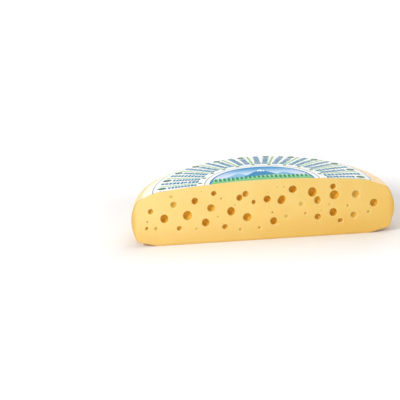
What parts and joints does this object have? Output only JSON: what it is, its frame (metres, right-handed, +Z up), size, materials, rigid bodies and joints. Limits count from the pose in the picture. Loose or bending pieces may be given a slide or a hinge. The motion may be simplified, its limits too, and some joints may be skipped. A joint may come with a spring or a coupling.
{
  "type": "half cheese wheel",
  "caption": "Half wheel of Emmental-style cheese, cut upright, with round eyes on the cut face, a domed rind and a printed paper label on top.",
  "frame": {"origin": "middle of the bounding box at the base, on the surface that the cheese stands on", "axes": "+Z up; +X along the cut face, to the right of someone who looks at it; +Y from the cut face into the cheese"},
  "size_m": [0.7994, 0.3842, 0.1924],
  "materials": {
    "cheese": "firm yellow cheese paste, satin on the cut face, with a dry pale golden rind on the outside",
    "label": "thin white paper grown into the rind, printed in pale blue and green"
  },
  "bodies": {
    "root": {"cheese_half": "cheese", "label_paper": "label"}
  },
  "joints": []
}
